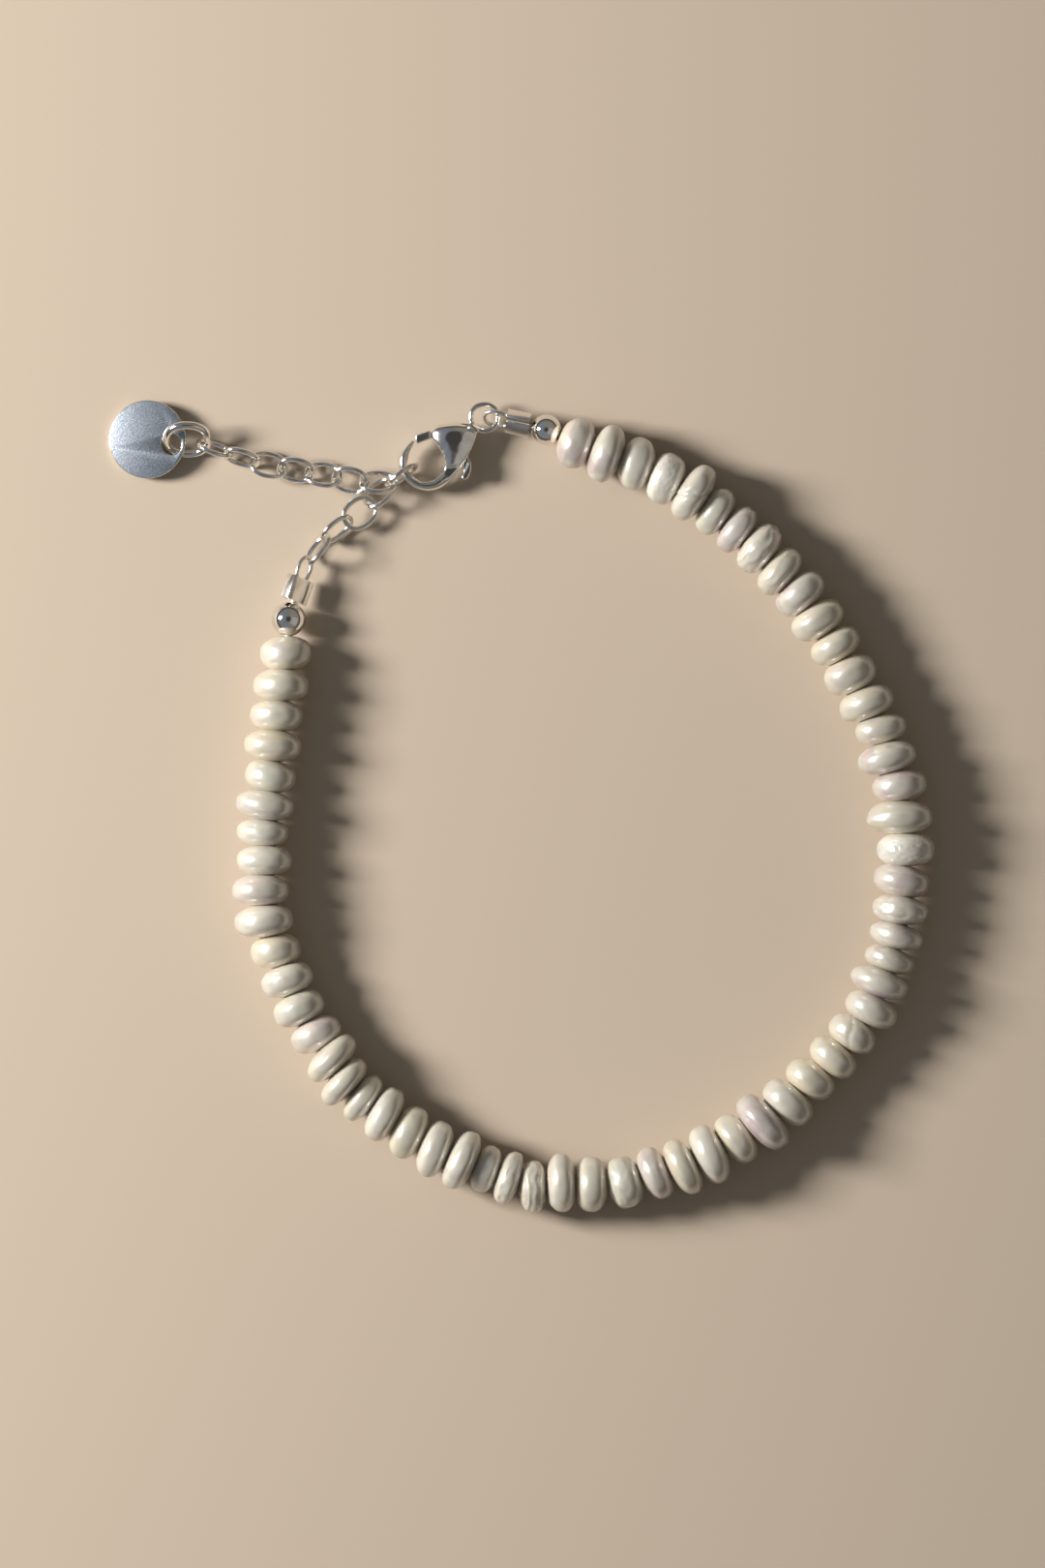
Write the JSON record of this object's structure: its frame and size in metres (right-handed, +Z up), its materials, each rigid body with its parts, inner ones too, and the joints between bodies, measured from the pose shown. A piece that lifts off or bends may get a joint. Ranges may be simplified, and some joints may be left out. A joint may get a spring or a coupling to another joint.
{
  "type": "pearl bracelet",
  "caption": "Open bracelet of button pearls on a thread, with end balls and crimps, a lobster clasp, an oval-link extender chain and a round tag.",
  "frame": {"origin": "bottom centre of the box of the bracelet as it lies, on the surface that it rests on", "axes": "+Z up off the surface, +Y towards the clasp's end of the lying loop, +X to the right of it seen from above"},
  "size_m": [0.067, 0.0658, 0.0053],
  "materials": {
    "pearl": "nacre of freshwater pearls, satin lustre",
    "silver": "polished silver",
    "brushed_silver": "finely grained silver with a bright rim"
  },
  "bodies": {
    "bracelet": {"pearl_string": "pearl", "clasp_ball": "silver", "chain_ball": "silver", "clasp_crimp": "silver", "chain_crimp": "silver", "clasp_body": "silver", "hook_link": "silver", "band_link_1": "silver", "band_link_2": "silver", "band_link_3": "silver", "band_link_4": "silver", "tail_link_1": "silver", "tail_link_2": "silver", "tail_link_3": "silver", "tail_link_4": "silver", "tail_link_5": "silver", "tail_link_6": "silver", "tail_link_7": "silver", "jump_ring": "silver", "tag": "brushed_silver"},
    "clasp_lever": {"clasp_lever": "silver"}
  },
  "joints": [
    {"name": "lever_hinge", "type": "hinge", "parent": "bracelet", "child": "clasp_lever", "pos_m": [-0.00532, 0.02997, 0.00145], "axis": [0, 0, 1], "range_deg": [0, 27], "stiffness_Nm_per_rad": 0.0004, "springref_deg": -17.19}
  ]
}
